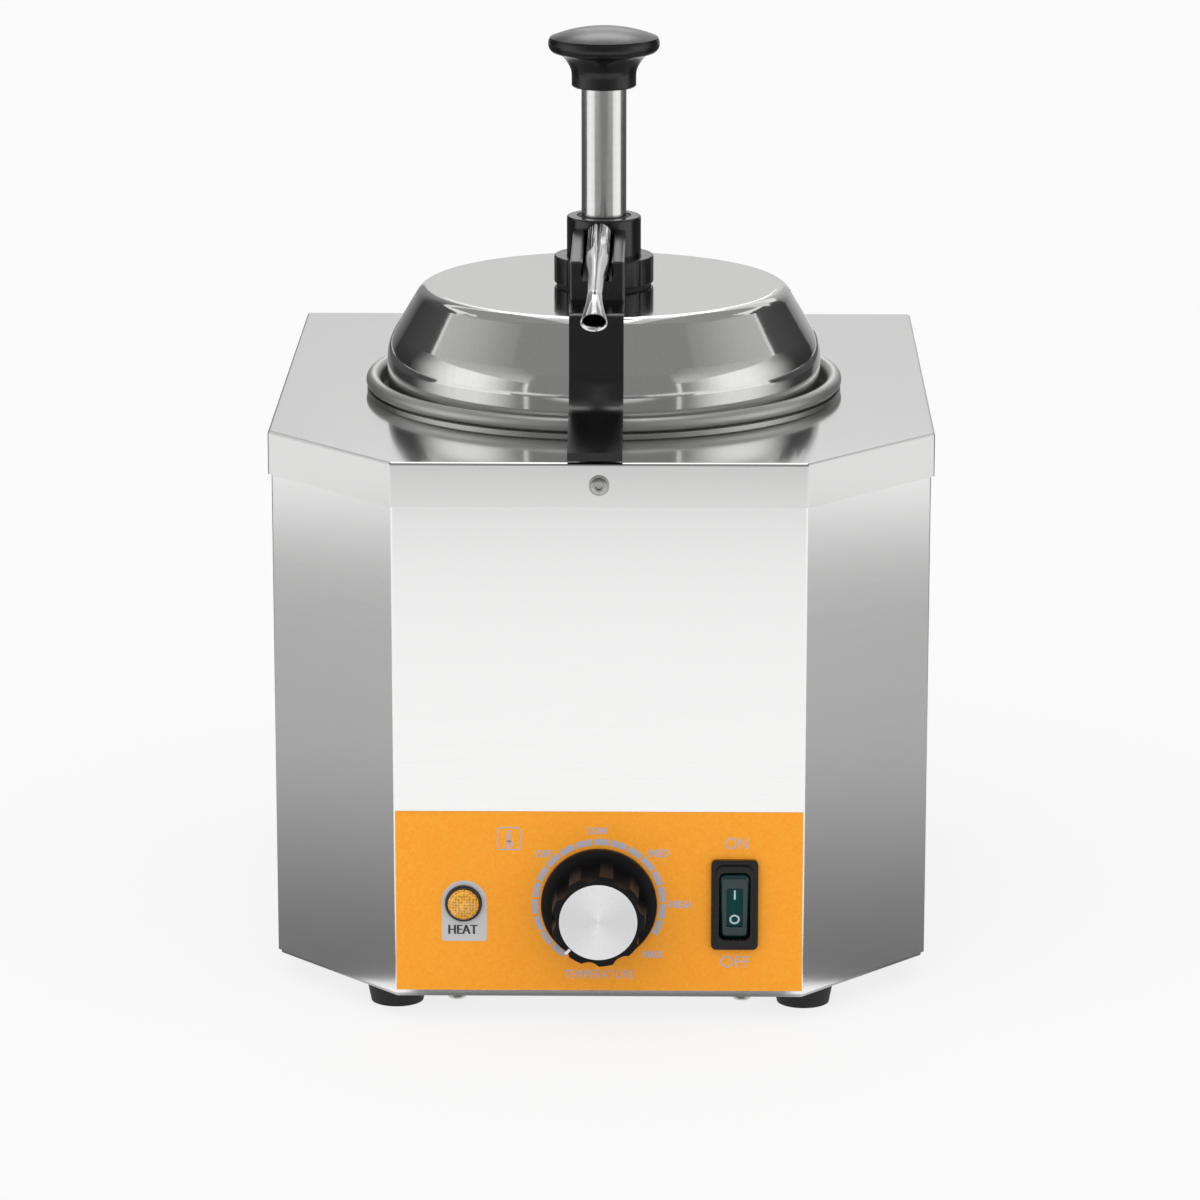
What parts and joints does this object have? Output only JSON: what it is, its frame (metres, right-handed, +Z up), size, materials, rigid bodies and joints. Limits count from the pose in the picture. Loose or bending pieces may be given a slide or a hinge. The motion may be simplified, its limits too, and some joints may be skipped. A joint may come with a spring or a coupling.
{
  "type": "hot fudge topping warmer",
  "caption": "Countertop topping warmer: chamfered steel cabinet with a water well, lift-out jar, domed lid, hand pump with forward spout, dial, rocker switch and lamp.",
  "frame": {"origin": "on the plane of the feet, midway across the cabinet and midway from front to back of its deck", "axes": "+Z up, the front with the controls faces -Y, +X to the right seen from the front"},
  "size_m": [0.26, 0.3428, 0.37],
  "materials": {
    "deck_steel": "brushed",
    "shell_steel": "brushed",
    "inner_steel": "satin",
    "overlay_film": "fine texture",
    "foot_rubber": "matte",
    "screw_steel": "satin",
    "well_steel": "satin",
    "element_steel": "heat tinted",
    "brass": "satin",
    "seal_rubber": "satin",
    "jar_steel": "polished",
    "lid_steel": "polished",
    "pump_steel": "polished",
    "black_plastic": "satin gloss",
    "knob_plastic": "gloss",
    "spout_chrome": "polished",
    "white_plastic": "satin",
    "bright_steel": "polished",
    "dial_plastic": "satin",
    "dial_aluminium": "spun",
    "copper": "satin",
    "dark_plastic": "satin",
    "lamp_black": "satin",
    "lamp_amber": "faceted",
    "lamp_glass": "clear",
    "switch_black": "satin",
    "switch_silicone": "satin",
    "rocker_green": "gloss",
    "wire_jacket": "satin"
  },
  "bodies": {
    "housing": {"top_deck": "deck_steel", "body_shell": "shell_steel", "base_plate": "inner_steel", "rear_panel": "inner_steel", "control_overlay": "overlay_film", "rubber_feet": "foot_rubber", "foot_screws": "screw_steel", "base_screws": "screw_steel", "deck_screws": "screw_steel", "deck_washers": "screw_steel", "rear_screws": "screw_steel", "m4_nuts": "screw_steel", "water_well": "well_steel", "heating_element": "element_steel", "element_bushings": "brass", "element_gaskets": "seal_rubber", "element_nuts": "brass", "thermostat": "white_plastic", "thermostat_screws": "screw_steel", "capillary_bulb": "copper", "bulb_clips": "inner_steel", "thermal_cutout": "dark_plastic", "cutout_strap": "inner_steel", "lamp_bezel": "lamp_black", "lamp_lens": "lamp_amber", "lamp_bulb": "lamp_glass", "lamp_nut": "inner_steel", "switch_frame": "switch_black", "gland_body": "dark_plastic", "gland_dome": "dark_plastic", "gland_seal": "seal_rubber", "gland_locknut": "dark_plastic", "terminal_block": "white_plastic", "terminal_screws": "brass", "earth_stud": "brass", "wiring": "wire_jacket"},
    "jar": {"topping_jar": "jar_steel"},
    "lid": {"lid": "lid_steel", "pump_barrel": "pump_steel", "lid_gasket": "seal_rubber", "ring_nut": "black_plastic", "collar_arm": "black_plastic", "wiper_ring": "seal_rubber", "spout": "spout_chrome", "valve_body": "white_plastic", "ball_pin": "bright_steel", "return_spring": "bright_steel"},
    "inlet_ball": {"inlet_ball": "bright_steel"},
    "plunger": {"plunger_tube": "pump_steel", "outlet_pin": "bright_steel", "piston": "white_plastic", "piston_seal": "seal_rubber", "pump_knob": "knob_plastic"},
    "outlet_ball": {"outlet_ball": "bright_steel"},
    "dial": {"temperature_dial": "dial_plastic", "dial_cap": "dial_aluminium", "thermostat_shaft": "bright_steel"},
    "rocker": {"switch_boot": "switch_silicone", "switch_rocker": "rocker_green"}
  },
  "joints": [
    {"name": "jar_lift", "type": "slide", "parent": "housing", "child": "jar", "axis": [0, 0, 1], "range_m": [0, 0.2]},
    {"name": "lid_lift", "type": "slide", "parent": "jar", "child": "lid", "axis": [0, 0, 1], "range_m": [0, 0.2]},
    {"name": "plunger_press", "type": "slide", "parent": "lid", "child": "plunger", "axis": [0, 0, -1], "range_m": [0, 0.045], "stiffness_N_per_m": 220, "springref_m": -0.035, "deforming": ["return_spring"]},
    {"name": "inlet_ball_lift", "type": "slide", "parent": "lid", "child": "inlet_ball", "axis": [0, 0, 1], "range_m": [0, 0.003]},
    {"name": "outlet_ball_lift", "type": "slide", "parent": "plunger", "child": "outlet_ball", "axis": [0, 0, 1], "range_m": [0, 0.003]},
    {"name": "dial_turn", "type": "hinge", "parent": "housing", "child": "dial", "pos_m": [0, -0.1466, 0.0488], "axis": [0, 1, 0], "range_deg": [0, 270]},
    {"name": "switch_rock", "type": "hinge", "parent": "housing", "child": "rocker", "pos_m": [0.0525, -0.1466, 0.0488], "axis": [-1, 0, 0], "range_deg": [0, 16]}
  ]
}
